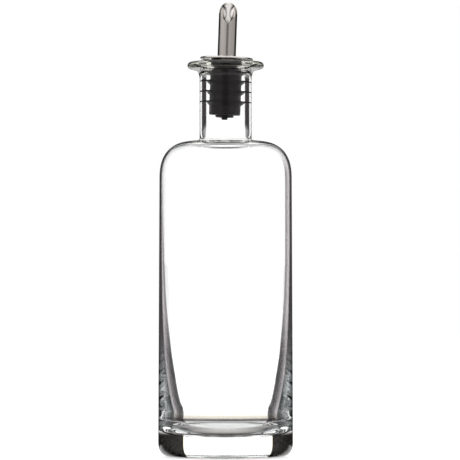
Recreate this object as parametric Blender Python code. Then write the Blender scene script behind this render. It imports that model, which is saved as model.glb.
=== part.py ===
"""Oil dispenser bottle: a blown glass bottle with a pourer held in its neck by a finned stopper.

The bottle stands on its base at the origin, +Z up. The pourer leans a little in the neck, as it does
when it is pushed in by hand, with the low side of its mouth towards -Y.
"""

import math

import bmesh
import bpy
from mathutils import Matrix, Vector

# Bottle, outside
BASE_RADIUS = 0.0370
BASE_CORNER_REACH = 0.0077
BASE_CORNER_HEIGHT = 0.0083
SHOULDER_RADIUS = 0.0364
SHOULDER_START_HEIGHT = 0.1520
SHOULDER_TOP_HEIGHT = 0.1735
NECK_RADIUS = 0.0143
NECK_ROOT_FILLET = 0.0018
SHOULDER_POWER = 2.6
CORNER_POWER = 2.4

# Bottle, lip
BOTTLE_HEIGHT = 0.2176
LIP_RADIUS = 0.0210
LIP_RIM_THICKNESS = 0.0038
LIP_RIM_DROP = 0.0005
LIP_CROWN_RADIUS = 0.0150
LIP_ROOT_REACH = 0.0021
LIP_ROOT_HEIGHT = 0.0055
LIP_UNDERSIDE_RISE = 0.0008
MOUTH_ROUNDING = 0.0012

# Bottle, inside
BORE_RADIUS = 0.0107
BORE_ROOT_ROUNDING = 0.0024
SHOULDER_WALL = 0.0022
WALL = 0.0011
FOOT_SWELL = 0.0070
SWELL_HEIGHT = 0.0280
FLOOR_THICKNESS = 0.0110
FLOOR_CORNER_REACH = 0.0150
FLOOR_CORNER_HEIGHT = 0.0110

# Fits
SEAT_CLEARANCE = 0.0003
LEAN = math.radians(2.0)

# Stopper
STOPPER_RADIUS = 0.0087
STOPPER_LENGTH = 0.0305
STOPPER_EDGE = 0.0006
STOPPER_COLLAR_HEIGHT = 0.0026
STOPPER_COLLAR_STEP = 0.0003
FIN_COUNT = 4
FIN_PITCH = 0.0057
FIRST_FIN_DEPTH = 0.0057
FIN_TIP_THICKNESS = 0.0005
FIN_ROOT_THICKNESS = 0.0026

# Collar disc
DISC_RADIUS = 0.0145
DISC_THICKNESS = 0.0011
DISC_EDGE = 0.0003

# Spout tube
TUBE_RADIUS = 0.00505
TUBE_WALL = 0.0005
TUBE_WAIST_RADIUS = 0.0042
TUBE_WAIST_EASE = 0.0008
TUBE_RISE = 0.0311
TUBE_FOOT_REACH = 0.0013
MOUTH_SLOPE = math.radians(52.5)
VENT_RADIUS = 0.0009
VENT_HEIGHT = 0.0036

# Air tube
AIR_TUBE_RADIUS = 0.0017
AIR_TUBE_WALL = 0.0004
AIR_TUBE_FOOT_REACH = 0.0012
AIR_TUBE_HEAD_REACH = 0.0012

# Facets
BOTTLE_FACETS = 48
POURER_FACETS = 40
SPOUT_FACETS = 32
AIR_TUBE_FACETS = 16
VENT_FACETS = 16
ARC_STEPS = 5
FINE_ARC_STEPS = 3
SHOULDER_STEPS = 10
WALL_STEPS = 8
WALL_RING_SHARE = 0.7
MERGE_DISTANCE = 0.000001
SHARP_ANGLE = math.radians(35.0)
CUT_OVERRUN = 0.0100

# Where the pourer sits: its axis crosses the bottle's axis at the middle of the fins
FIN_STACK = (FIN_COUNT - 1) * FIN_PITCH
DISC_SAG = DISC_RADIUS * math.sin(LEAN)
DISC_UNDERSIDE = BOTTLE_HEIGHT + SEAT_CLEARANCE + DISC_SAG
STOPPER_TOP = DISC_UNDERSIDE - SEAT_CLEARANCE
STOPPER_FOOT = STOPPER_TOP - STOPPER_LENGTH
TOP_FIN = STOPPER_TOP - FIRST_FIN_DEPTH
CROSSING_HEIGHT = TOP_FIN - FIN_STACK / 2
FIN_DRIFT = FIN_STACK / 2 * math.tan(LEAN)
FIN_RADIUS = BORE_RADIUS - SEAT_CLEARANCE - FIN_DRIFT
DISC_TOP = DISC_UNDERSIDE + DISC_THICKNESS
TUBE_FOOT = STOPPER_FOOT - TUBE_FOOT_REACH
TUBE_TOP = DISC_TOP + TUBE_RISE
WAIST_BORE_RADIUS = TUBE_WAIST_RADIUS - TUBE_WALL
AIR_TUBE_OFFSET = WAIST_BORE_RADIUS - SEAT_CLEARANCE - AIR_TUBE_RADIUS
AIR_TUBE_FOOT = TUBE_FOOT - AIR_TUBE_FOOT_REACH
VENT_CENTRE = DISC_TOP + VENT_HEIGHT
AIR_TUBE_HEAD = VENT_CENTRE + AIR_TUBE_HEAD_REACH


def clear_scene():
    """Remove whatever the scene holds."""
    for old in list(bpy.data.objects):
        bpy.data.objects.remove(old, do_unlink=True)


def material(name, colour, roughness, metallic=0.0):
    """A Principled material with one colour, roughness and metallic value."""
    made = bpy.data.materials.new(name)
    made.use_nodes = True
    made.diffuse_color = (*colour, 1.0)
    shader = made.node_tree.nodes["Principled BSDF"]
    shader.inputs["Base Color"].default_value = (*colour, 1.0)
    shader.inputs["Roughness"].default_value = roughness
    shader.inputs["Metallic"].default_value = metallic
    return made


def quarter(centre, semi, power, steps):
    """Points on a quarter of a superellipse, from its vertical to its horizontal semi-axis.

    The signs of the two semi-axes choose the quarter; a power of 2 is an ellipse.
    """
    points = []
    for step in range(steps + 1):
        angle = math.pi / 2 * step / steps
        across = math.sin(angle) ** (2 / power)
        along = max(math.cos(angle), 0.0) ** (2 / power)
        points.append((centre[0] + semi[0] * across, centre[1] + semi[1] * along))
    return points


def quarter_back(centre, semi, power, steps):
    """The same quarter, run from its horizontal to its vertical semi-axis."""
    return quarter(centre, semi, power, steps)[::-1]


def turned(name, outline, facets, finish, closed_on_axis=False):
    """An object turned about Z from an outline of (radius, height) points.

    An outline that ends on the axis at both ends is closed there; any other is joined end to end.
    """
    shape = bmesh.new()
    points = [shape.verts.new((radius, 0.0, height)) for radius, height in outline]
    pairs = list(zip(points, points[1:]))
    if not closed_on_axis:
        pairs.append((points[-1], points[0]))
    edges = [shape.edges.new(pair) for pair in pairs]
    bmesh.ops.spin(
        shape,
        geom=points + edges,
        cent=Vector((0.0, 0.0, 0.0)),
        axis=Vector((0.0, 0.0, 1.0)),
        angle=math.tau,
        steps=facets,
        use_merge=True,
        use_duplicate=False,
    )
    bmesh.ops.remove_doubles(shape, verts=shape.verts, dist=MERGE_DISTANCE)
    bmesh.ops.recalc_face_normals(shape, faces=shape.faces)
    mesh = bpy.data.meshes.new(name)
    shape.to_mesh(mesh)
    shape.free()
    mesh.shade_smooth()
    mesh.set_sharp_from_angle(angle=SHARP_ANGLE)
    mesh.materials.append(finish)
    made = bpy.data.objects.new(name, mesh)
    bpy.context.collection.objects.link(made)
    return made


def from_crossing(outline):
    """An outline's heights counted from the point where the two axes cross."""
    return [(radius, height - CROSSING_HEIGHT) for radius, height in outline]


def hang(child, parent, place=(0.0, 0.0, 0.0)):
    """Put a child on its parent's axis."""
    child.parent = parent
    child.location = place


def guide(name):
    """An empty that marks an axis."""
    made = bpy.data.objects.new(name, None)
    bpy.context.collection.objects.link(made)
    return made


def cut(target, cutter):
    """Cut one object out of another, and leave the cutter as a hidden guide."""
    cutter.hide_render = True
    cutter.display_type = "WIRE"
    modifier = target.modifiers.new("cut by " + cutter.name, "BOOLEAN")
    modifier.operation = "DIFFERENCE"
    modifier.solver = "EXACT"
    modifier.object = cutter


def outer_radius(height):
    """The body's outer radius, which narrows evenly from the base to the shoulder."""
    run = SHOULDER_START_HEIGHT - BASE_CORNER_HEIGHT
    share = (height - BASE_CORNER_HEIGHT) / run
    return BASE_RADIUS + (SHOULDER_RADIUS - BASE_RADIUS) * share


def inner_radius(height):
    """The cavity's radius: the wall swells towards the foot, as glass does that settled there."""
    above_foot = height - FLOOR_THICKNESS - FLOOR_CORNER_HEIGHT
    swell = FOOT_SWELL * math.exp(-above_foot / SWELL_HEIGHT)
    return outer_radius(height) - WALL - swell


def lip_outline():
    """The lip from the top of the neck to the top of the bore."""
    rim = LIP_RIM_THICKNESS / 2
    rim_radius = LIP_RADIUS - rim
    rim_height = BOTTLE_HEIGHT - LIP_RIM_DROP - rim
    root_height = rim_height - rim - LIP_UNDERSIDE_RISE - LIP_ROOT_HEIGHT
    root = (NECK_RADIUS + LIP_ROOT_REACH, root_height)
    mouth = (BORE_RADIUS + MOUTH_ROUNDING, BOTTLE_HEIGHT - MOUTH_ROUNDING)
    outline = quarter_back(root, (-LIP_ROOT_REACH, LIP_ROOT_HEIGHT), 2, ARC_STEPS)
    outline += quarter((rim_radius, rim_height), (rim, -rim), 2, ARC_STEPS)
    outline += quarter_back((rim_radius, rim_height), (rim, rim), 2, ARC_STEPS)[1:]
    outline.append((LIP_CROWN_RADIUS, BOTTLE_HEIGHT))
    outline += quarter(mouth, (-MOUTH_ROUNDING, MOUTH_ROUNDING), 2, FINE_ARC_STEPS)
    return outline


def cavity_outline():
    """The inside from the foot of the bore down to the middle of the floor."""
    ceiling = SHOULDER_TOP_HEIGHT - SHOULDER_WALL
    bore_foot = BORE_RADIUS + BORE_ROOT_ROUNDING
    rounding = (-BORE_ROOT_ROUNDING, -BORE_ROOT_ROUNDING)
    wall_top = SHOULDER_START_HEIGHT
    wall_foot = FLOOR_THICKNESS + FLOOR_CORNER_HEIGHT
    crown = (inner_radius(wall_top) - bore_foot, ceiling - wall_top)
    floor_corner = (inner_radius(wall_foot) - FLOOR_CORNER_REACH, wall_foot)
    outline = quarter_back((bore_foot, ceiling + BORE_ROOT_ROUNDING), rounding, 2, ARC_STEPS)
    outline += quarter((bore_foot, wall_top), crown, SHOULDER_POWER, SHOULDER_STEPS)[1:]
    for step in range(1, WALL_STEPS):
        drop_share = (step / WALL_STEPS) ** WALL_RING_SHARE
        height = wall_top + (wall_foot - wall_top) * drop_share
        outline.append((inner_radius(height), height))
    outline += quarter_back(floor_corner, (FLOOR_CORNER_REACH, -FLOOR_CORNER_HEIGHT), 2, ARC_STEPS)
    outline.append((0.0, FLOOR_THICKNESS))
    return outline


def make_bottle(finish):
    """The one-piece glass bottle with its heavy base, swelling wall, shoulder, neck and lip."""
    corner = (BASE_RADIUS - BASE_CORNER_REACH, BASE_CORNER_HEIGHT)
    neck_root = NECK_RADIUS + NECK_ROOT_FILLET
    shoulder = (neck_root, SHOULDER_START_HEIGHT)
    shoulder_size = (SHOULDER_RADIUS - neck_root, SHOULDER_TOP_HEIGHT - SHOULDER_START_HEIGHT)
    fillet = (neck_root, SHOULDER_TOP_HEIGHT + NECK_ROOT_FILLET)
    outline = [(0.0, 0.0)]
    outline += quarter(corner, (BASE_CORNER_REACH, -BASE_CORNER_HEIGHT), CORNER_POWER, ARC_STEPS)
    outline += quarter_back(shoulder, shoulder_size, SHOULDER_POWER, SHOULDER_STEPS)
    outline += quarter(fillet, (-NECK_ROOT_FILLET, -NECK_ROOT_FILLET), 2, FINE_ARC_STEPS)[1:]
    outline += lip_outline()
    outline += cavity_outline()
    return turned("bottle", outline, BOTTLE_FACETS, finish, closed_on_axis=True)


def fin_outline(top):
    """One fin: flat above, coned below from a thick root to a thin lip."""
    return [
        (STOPPER_RADIUS, top),
        (FIN_RADIUS, top),
        (FIN_RADIUS, top - FIN_TIP_THICKNESS),
        (STOPPER_RADIUS, top - FIN_ROOT_THICKNESS),
    ]


def make_stopper(finish):
    """The rubber stopper: a collar at the top, four fins that fill the bore, and a bored core."""
    bore = TUBE_RADIUS + SEAT_CLEARANCE
    collar_foot = STOPPER_TOP - STOPPER_COLLAR_HEIGHT
    outline = [
        (bore, STOPPER_TOP),
        (STOPPER_RADIUS, STOPPER_TOP),
        (STOPPER_RADIUS, collar_foot + STOPPER_COLLAR_STEP),
        (STOPPER_RADIUS - STOPPER_COLLAR_STEP, collar_foot),
        (STOPPER_RADIUS, collar_foot - STOPPER_COLLAR_STEP),
    ]
    for fin in range(FIN_COUNT):
        outline += fin_outline(TOP_FIN - fin * FIN_PITCH)
    outline += [
        (STOPPER_RADIUS, STOPPER_FOOT + STOPPER_EDGE),
        (STOPPER_RADIUS - STOPPER_EDGE, STOPPER_FOOT),
        (bore, STOPPER_FOOT),
    ]
    return turned("stopper", from_crossing(outline), POURER_FACETS, finish)


def make_disc(finish):
    """The steel disc that rests on the lip, rolled into the tube's waist."""
    hole = TUBE_WAIST_RADIUS + SEAT_CLEARANCE
    outline = [
        (hole, DISC_UNDERSIDE),
        (DISC_RADIUS - DISC_EDGE, DISC_UNDERSIDE),
        (DISC_RADIUS, DISC_UNDERSIDE + DISC_EDGE),
        (DISC_RADIUS, DISC_TOP - DISC_EDGE),
        (DISC_RADIUS - DISC_EDGE, DISC_TOP),
        (hole, DISC_TOP),
    ]
    return turned("collar_disc", from_crossing(outline), POURER_FACETS, finish)


def make_tube(finish):
    """The steel spout tube: waisted at the disc, with a slanted mouth and a vent hole behind."""
    waist_foot = DISC_UNDERSIDE - SEAT_CLEARANCE
    waist_head = DISC_TOP + SEAT_CLEARANCE
    outside = [
        (TUBE_RADIUS, TUBE_FOOT),
        (TUBE_RADIUS, waist_foot - TUBE_WAIST_EASE),
        (TUBE_WAIST_RADIUS, waist_foot),
        (TUBE_WAIST_RADIUS, waist_head),
        (TUBE_RADIUS, waist_head + TUBE_WAIST_EASE),
        (TUBE_RADIUS, TUBE_TOP),
    ]
    inside = [(radius - TUBE_WALL, height) for radius, height in outside[::-1]]
    tube = turned("spout_tube", from_crossing(outside + inside), SPOUT_FACETS, finish)
    cut(tube, mouth_cutter(finish))
    cut(tube, vent_cutter(finish))
    return tube


def mouth_cutter(finish):
    """A block whose lower face slants down towards -Y and trims the tube's mouth."""
    shape = bmesh.new()
    bmesh.ops.create_cube(shape, size=CUT_OVERRUN * 4)
    bmesh.ops.translate(shape, verts=shape.verts, vec=(0.0, 0.0, CUT_OVERRUN * 2))
    bmesh.ops.rotate(
        shape,
        verts=shape.verts,
        cent=(0.0, 0.0, 0.0),
        matrix=Matrix.Rotation(MOUTH_SLOPE, 3, "X"),
    )
    middle = TUBE_TOP - TUBE_RADIUS * math.tan(MOUTH_SLOPE) - CROSSING_HEIGHT
    bmesh.ops.translate(shape, verts=shape.verts, vec=(0.0, 0.0, middle))
    mesh = bpy.data.meshes.new("mouth_cutter")
    shape.to_mesh(mesh)
    shape.free()
    mesh.materials.append(finish)
    made = bpy.data.objects.new("mouth_cutter", mesh)
    bpy.context.collection.objects.link(made)
    return made


def vent_cutter(finish):
    """A short rod through the back wall of the tube at the head of the air tube."""
    shape = bmesh.new()
    bmesh.ops.create_cone(
        shape,
        cap_ends=True,
        segments=VENT_FACETS,
        radius1=VENT_RADIUS,
        radius2=VENT_RADIUS,
        depth=TUBE_RADIUS,
    )
    bmesh.ops.rotate(
        shape,
        verts=shape.verts,
        cent=(0.0, 0.0, 0.0),
        matrix=Matrix.Rotation(math.pi / 2, 3, "X"),
    )
    place = (0.0, TUBE_RADIUS, VENT_CENTRE - CROSSING_HEIGHT)
    bmesh.ops.translate(shape, verts=shape.verts, vec=place)
    mesh = bpy.data.meshes.new("vent_cutter")
    shape.to_mesh(mesh)
    shape.free()
    mesh.materials.append(finish)
    made = bpy.data.objects.new("vent_cutter", mesh)
    bpy.context.collection.objects.link(made)
    return made


def make_air_tube(finish):
    """The thin steel tube that lets air down past the oil, along the back of the spout tube."""
    bore = AIR_TUBE_RADIUS - AIR_TUBE_WALL
    outline = [
        (AIR_TUBE_RADIUS, AIR_TUBE_FOOT),
        (AIR_TUBE_RADIUS, AIR_TUBE_HEAD),
        (bore, AIR_TUBE_HEAD),
        (bore, AIR_TUBE_FOOT),
    ]
    return turned("air_tube", from_crossing(outline), AIR_TUBE_FACETS, finish)


def main():
    """Build the bottle, then the pourer on its leaning axis."""
    clear_scene()
    glass = material("clear glass", (0.86, 0.89, 0.88), 0.03)
    rubber = material("black rubber", (0.022, 0.020, 0.021), 0.55)
    steel = material("polished steel", (0.62, 0.60, 0.58), 0.16, metallic=1.0)
    make_bottle(glass)
    lift_axis = guide("lift_axis")
    lift_axis.location = (0.0, 0.0, CROSSING_HEIGHT)
    aim_axis = guide("aim_axis")
    hang(aim_axis, lift_axis)
    aim_axis.rotation_euler = (0.0, LEAN, 0.0)
    hang(make_stopper(rubber), aim_axis)
    hang(make_disc(steel), aim_axis)
    tube = make_tube(steel)
    for modifier in tube.modifiers:
        hang(modifier.object, aim_axis)
    hang(tube, aim_axis)
    hang(make_air_tube(steel), aim_axis, (0.0, AIR_TUBE_OFFSET, 0.0))


main()
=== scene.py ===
"""Looks of an oil dispenser bottle.

A clear glass bottle with a heavy base, a finned rubber stopper and a steel pourer stand on a white
table under soft studio light.
"""

import logging
import math
from collections.abc import Callable, Iterable, Sequence
from dataclasses import dataclass
from enum import Enum
from functools import partial, reduce
from typing import Any

import bmesh
import bpy
from mathutils import Matrix, Vector


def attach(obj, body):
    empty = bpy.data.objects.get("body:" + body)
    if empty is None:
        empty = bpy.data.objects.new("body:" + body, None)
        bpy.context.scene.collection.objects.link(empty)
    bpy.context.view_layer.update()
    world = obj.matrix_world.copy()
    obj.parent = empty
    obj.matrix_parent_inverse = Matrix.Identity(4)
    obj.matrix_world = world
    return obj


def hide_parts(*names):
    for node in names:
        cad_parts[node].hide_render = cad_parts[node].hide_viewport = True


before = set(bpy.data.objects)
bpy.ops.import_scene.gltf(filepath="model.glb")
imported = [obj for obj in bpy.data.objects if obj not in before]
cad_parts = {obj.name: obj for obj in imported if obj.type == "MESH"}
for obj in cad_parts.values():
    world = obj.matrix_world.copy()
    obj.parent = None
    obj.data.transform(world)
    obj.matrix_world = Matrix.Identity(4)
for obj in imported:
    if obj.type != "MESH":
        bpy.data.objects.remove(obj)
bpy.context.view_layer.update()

logging.basicConfig(level=logging.INFO, format="%(message)s")
LOG = logging.getLogger("oil bottle")

Socket = bpy.types.NodeSocket
Pair = tuple[float, float]
Triple = tuple[float, float, float]
Quad = tuple[float, float, float, float]
Stops = tuple[Pair, ...]
Outline = list[Pair]
Stop = tuple[float, Triple]
Input = Socket | float

PHOTO_SIDE = 460
MERGE_DISTANCE = 0.000001
SHARP_ANGLE = math.radians(38.0)
ROUND = 2.0
HALF_TURN = 180.0
ORIGIN = (0.0, 0.0, 0.0)
WHITE = (1.0, 1.0, 1.0)
WEAR_EDGE = (0.42, 0.66)
WEAR_OCTAVES = 4.0
WEAR_SCALES = {"Patch scale": 60.0, "Grain scale": 2000.0}

# Ray depths are whole numbers, so each limit lies half way between two of them.
ONCE = 0.5
TWICE = 1.5
FEW_CROSSINGS = 3.5


class Body(Enum):
    """The moving bodies of the frame."""

    BOTTLE = "bottle"
    STOPPER = "stopper"
    SPOUT = "spout"


class Slot(Enum):
    """The material slots of the record."""

    GLASS = "clear_glass"
    RUBBER = "black_rubber"
    STEEL = "polished_steel"


class Turn(Enum):
    """Which way a quarter of a superellipse is walked."""

    OVER = 0
    BACK = 1


# Outlines and meshes


def quarter(centre: Pair, semi: Pair, power: float, steps: int, turn: Turn = Turn.OVER) -> Outline:
    """Walk a quarter of a superellipse.

    Args:
        centre: Radius and height of the centre.
        semi: Semi-axes across and up, whose signs choose the quarter.
        power: 2 for an ellipse, more for a squarer corner.
        steps: Number of chords.
        turn: OVER runs from the vertical to the horizontal semi-axis.

    Returns:
        The points as (radius, height) pairs.
    """
    points: Outline = []
    for step in range(steps + 1):
        angle = math.pi / 2 * step / steps
        across = math.sin(angle) ** (2 / power)
        along = max(math.cos(angle), 0.0) ** (2 / power)
        points.append((centre[0] + semi[0] * across, centre[1] + semi[1] * along))
    return points if turn is Turn.OVER else points[::-1]


def turned(outline: Outline, facets: int, on_axis: bool = False) -> bmesh.types.BMesh:
    """Turn an outline about Z.

    Args:
        outline: Points as (radius, height) pairs.
        facets: Steps round the axis.
        on_axis: True if both ends lie on the axis; otherwise the outline is joined end to end.

    Returns:
        A closed mesh with its faces outwards.
    """
    shape = bmesh.new()
    points = [shape.verts.new((radius, 0.0, height)) for radius, height in outline]
    pairs = list(zip(points, points[1:]))
    if not on_axis:
        pairs.append((points[-1], points[0]))
    bmesh.ops.spin(
        shape,
        geom=points + [shape.edges.new(pair) for pair in pairs],
        cent=ORIGIN,
        axis=(0.0, 0.0, 1.0),
        angle=math.tau,
        steps=facets,
        use_merge=True,
        use_duplicate=False,
    )
    bmesh.ops.remove_doubles(shape, verts=shape.verts, dist=MERGE_DISTANCE)
    bmesh.ops.recalc_face_normals(shape, faces=shape.faces)
    return shape


def upright(shape: bmesh.types.BMesh) -> None:
    """Turn a mesh a quarter about X, so that what faced up faces the camera."""
    turn = Matrix.Rotation(math.pi / 2, 3, "X")
    bmesh.ops.rotate(shape, verts=shape.verts, cent=ORIGIN, matrix=turn)


def linked(name: str, data: bpy.types.ID) -> bpy.types.Object:
    """Make an object and put it in the scene.

    Args:
        name: The object's name.
        data: Its mesh, lamp or camera.

    Returns:
        The object.
    """
    made = bpy.data.objects.new(name, data)
    bpy.context.scene.collection.objects.link(made)
    return made


def finished(
    name: str, shape: bmesh.types.BMesh, *finishes: "Finish", sharp: float = SHARP_ANGLE
) -> bpy.types.Object:
    """Make an object at the origin from a mesh under construction.

    Args:
        name: The object's name.
        shape: The mesh, which is freed.
        *finishes: The finishes of its faces, in the order of their material slots.
        sharp: Edges that turn more than this stay crisp.

    Returns:
        The new object.
    """
    mesh = bpy.data.meshes.new(name)
    shape.to_mesh(mesh)
    shape.free()
    mesh.shade_smooth()
    mesh.set_sharp_from_angle(angle=sharp)
    for finish in finishes:
        mesh.materials.append(finish.material())
    return linked(name, mesh)


def look_at(thing: bpy.types.Object, place: Triple, target: Triple) -> None:
    """Put a lamp or a camera in its place and point it at a target."""
    thing.location = place
    thing.rotation_euler = (Vector(target) - Vector(place)).to_track_quat("-Z", "Y").to_euler()


def hide_from(thing: bpy.types.Object, *rays: str) -> None:
    """Keep a thing out of sight of some kinds of ray."""
    for kind in rays:
        setattr(thing, f"visible_{kind}", False)


def settle(piece: bpy.types.Object, body: Body, nodes: Sequence[str]) -> None:
    """Put a piece in the frame and log it.

    Args:
        piece: The finished piece.
        body: The body it moves with.
        nodes: The CAD nodes it stands for.
    """
    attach(piece, body.value)
    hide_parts(*nodes)
    LOG.info("%s: %d faces, rides on %s", piece.name, len(piece.data.polygons), body.value)


# Shader nodes


@dataclass
class Graph:
    """Adds and joins the nodes of one node tree."""

    tree: bpy.types.NodeTree

    def add(self, kind: str, **settings: Any) -> bpy.types.Node:
        """Add a node and set its properties.

        Args:
            kind: The node's type name.
            **settings: Properties of the node.

        Returns:
            The node.
        """
        node = self.tree.nodes.new(kind)
        for name, value in settings.items():
            setattr(node, name, value)
        return node

    def feed(self, socket: Socket, value: Any) -> None:
        """Link a socket into an input, or set the input to a plain value.

        Args:
            socket: The input.
            value: A socket or a value.
        """
        if isinstance(value, Socket):
            self.tree.links.new(value, socket)
        else:
            socket.default_value = value

    def fill(self, node: bpy.types.Node, values: dict[Any, Any]) -> None:
        """Feed several inputs of a node, by their names or places."""
        for name, value in values.items():
            self.feed(node.inputs[name], value)

    def calc(self, operation: str, *values: Input) -> Socket:
        """Do one sum with a Math node.

        Args:
            operation: The node's operation.
            *values: Sockets or numbers.

        Returns:
            The result.
        """
        node = self.add("ShaderNodeMath", operation=operation)
        self.fill(node, dict(enumerate(values)))
        return node.outputs[0]

    def times(self, *values: Input) -> Socket:
        """Multiply values."""
        return reduce(partial(self.calc, "MULTIPLY"), values)

    def most(self, *values: Input) -> Socket:
        """Give the largest of some values."""
        return reduce(partial(self.calc, "MAXIMUM"), values)

    def invert(self, value: Input) -> Socket:
        """Give what a value lacks to 1."""
        return self.calc("SUBTRACT", 1.0, value)

    def along(self, share: Input, low: float, high: float) -> Socket:
        """Go from one number to another by a share."""
        return self.calc("MULTIPLY_ADD", share, high - low, low)

    def length(self, x: Socket, y: Socket) -> Socket:
        """Give the length of a level vector."""
        return self.calc("SQRT", self.calc("MULTIPLY_ADD", x, x, self.times(y, y)))

    def span(self, value: Input, low: Input, high: Input, smooth: bool = True) -> Socket:
        """Say how far a value lies between two others.

        Args:
            value: The value.
            low: Gives 0.
            high: Gives 1.
            smooth: Ease in and out.

        Returns:
            A value between 0 and 1.
        """
        style = "SMOOTHSTEP" if smooth else "LINEAR"
        node = self.add("ShaderNodeMapRange", interpolation_type=style)
        self.fill(node, {"Value": value, "From Min": low, "From Max": high})
        return node.outputs["Result"]

    def between(self, value: Input, start: float, full: float, last: float, end: float) -> Socket:
        """Rise from 0 at start to 1 at full, and fall from 1 at last to 0 at end."""
        return self.times(self.span(value, start, full), self.span(value, end, last))

    def line(self, height: Socket, low: float, high: float) -> Socket:
        """Give 1 in the middle of a thin level line round the object."""
        middle = (low + high) / 2
        return self.between(height, low, middle, middle, high)

    def ramp(self, value: Input, stops: Sequence[Stop]) -> Socket:
        """Look a colour up along a ramp.

        Args:
            value: Place on the ramp, 0 to 1.
            stops: Places and colours.

        Returns:
            The colour.
        """
        node = self.add("ShaderNodeValToRGB")
        band = node.color_ramp
        while len(band.elements) < len(stops):
            band.elements.new(0.5)
        for element, (place, colour) in zip(band.elements, stops):
            element.position = place
            element.color = (*colour, 1.0)
        self.feed(node.inputs["Fac"], value)
        return node.outputs["Color"]

    def levels(self, value: Input, stops: Sequence[Pair]) -> Socket:
        """Look a plain level up along a ramp of (place, level) stops."""
        return self.ramp(value, [(place, (level,) * 3) for place, level in stops])

    def blend(self, share: Input, first: Any, second: Any, mode: str = "MIX") -> Socket:
        """Mix two colours.

        Args:
            share: Share of the second.
            first: Colour or socket.
            second: Colour or socket.
            mode: The Mix node's blend type.

        Returns:
            The mixed colour.
        """
        node = self.add("ShaderNodeMix", data_type="RGBA", blend_type=mode)
        self.feed(node.inputs["Factor"], share)
        for name, value in (("A", first), ("B", second)):
            socket = next(s for s in node.inputs if s.name == name and s.type == "RGBA")
            self.feed(socket, value if isinstance(value, Socket) else (*value, 1.0))
        return next(s for s in node.outputs if s.type == "RGBA")

    def tint(self, first: Any, second: Any) -> Socket:
        """Multiply two colours."""
        return self.blend(1.0, first, second, "MULTIPLY")

    def noise(self, place: Socket, scale: Input, detail: float = 3.0, rough: float = 0.5) -> Socket:
        """Read fractal noise.

        Args:
            place: The coordinates.
            scale: Bumps per metre.
            detail: Octaves.
            rough: Strength of the finer octaves.

        Returns:
            A value round 0.5.
        """
        node = self.add("ShaderNodeTexNoise")
        self.fill(node, {"Vector": place, "Scale": scale, "Detail": detail, "Roughness": rough})
        return node.outputs["Fac"]

    def scaled(self, vector: Socket, scale: Triple) -> Socket:
        """Stretch a vector along the axes.

        Args:
            vector: The vector.
            scale: The factors.

        Returns:
            The stretched vector.
        """
        node = self.add("ShaderNodeMapping")
        self.fill(node, {"Vector": vector, "Scale": scale})
        return node.outputs["Vector"]

    def object_place(self, stretch: Triple = (1.0, 1.0, 1.0)) -> Socket:
        """Read Object coordinates, stretched along the axes."""
        return self.scaled(self.add("ShaderNodeTexCoord").outputs["Object"], stretch)

    def split(self, vector: Socket) -> tuple[Socket, ...]:
        """Split a vector into its three parts.

        Args:
            vector: The vector.

        Returns:
            Its parts.
        """
        node = self.add("ShaderNodeSeparateXYZ")
        self.feed(node.inputs[0], vector)
        return tuple(node.outputs)

    def sideways(self) -> Socket:
        """Say how edge-on a round wall is seen, from 0 head on to 1 at its edge.

        Returns:
            The share.
        """
        x, y, _ = self.split(self.object_place())
        radial = self.add("ShaderNodeCombineXYZ")
        self.fill(radial, {0: x, 1: y})
        level = self.add("ShaderNodeVectorMath", operation="NORMALIZE")
        self.feed(level.inputs[0], radial.outputs[0])
        weight = self.add("ShaderNodeLayerWeight")
        self.feed(weight.inputs["Normal"], level.outputs[0])
        return weight.outputs["Facing"]

    def front(self) -> Socket:
        """Give 1 where a ray meets a face from outside."""
        return self.invert(self.add("ShaderNodeNewGeometry").outputs["Backfacing"])

    def bump(self, height: Input, strength: float, distance: float) -> Socket:
        """Turn a height into a normal.

        Args:
            height: The height.
            strength: Share of the full effect.
            distance: What a height of 1 stands for, in metres.

        Returns:
            The normal.
        """
        node = self.add("ShaderNodeBump")
        self.fill(node, {"Height": height, "Strength": strength, "Distance": distance})
        return node.outputs["Normal"]

    def let_through(self, rays: Socket, shader: bpy.types.Node, colour: Triple = WHITE) -> None:
        """Let some rays pass straight through a material.

        Args:
            rays: Mask of the rays that pass.
            shader: The shader that the others meet.
            colour: What is left of the light that passes.
        """
        clear = self.add("ShaderNodeBsdfTransparent")
        self.feed(clear.inputs["Color"], (*colour, 1.0))
        mix = self.add("ShaderNodeMixShader")
        self.fill(mix, {"Fac": rays, 1: shader.outputs["BSDF"], 2: clear.outputs["BSDF"]})
        output = next(n for n in self.tree.nodes if n.type == "OUTPUT_MATERIAL")
        self.feed(output.inputs["Surface"], mix.outputs["Shader"])


def new_material(name: str) -> tuple[bpy.types.Material, Graph, bpy.types.Node]:
    """Make a material, and give it with its graph and its Principled shader.

    Args:
        name: The material's name.

    Returns:
        The material, its graph and its shader.
    """
    made = bpy.data.materials.new(name)
    made.use_nodes = True
    return made, Graph(made.node_tree), made.node_tree.nodes["Principled BSDF"]


def shader_group(
    name: str, inputs: dict[str, float], outputs: Sequence[str], fill: Callable[..., None]
) -> bpy.types.NodeTree:
    """Build a shader node group once.

    Args:
        name: The group's name.
        inputs: Float inputs and their defaults.
        outputs: Float outputs.
        fill: Called with the graph, the group's input node and its output node.

    Returns:
        The group.
    """
    known = bpy.data.node_groups.get(name)
    if known is not None:
        return known
    group = bpy.data.node_groups.new(name, "ShaderNodeTree")
    group.interface.new_socket("Place", in_out="INPUT", socket_type="NodeSocketVector")
    for label, value in inputs.items():
        socket = group.interface.new_socket(label, in_out="INPUT", socket_type="NodeSocketFloat")
        socket.default_value = value
    for label in outputs:
        group.interface.new_socket(label, in_out="OUTPUT", socket_type="NodeSocketFloat")
    graph = Graph(group)
    fill(graph, graph.add("NodeGroupInput"), graph.add("NodeGroupOutput"))
    return group


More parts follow.
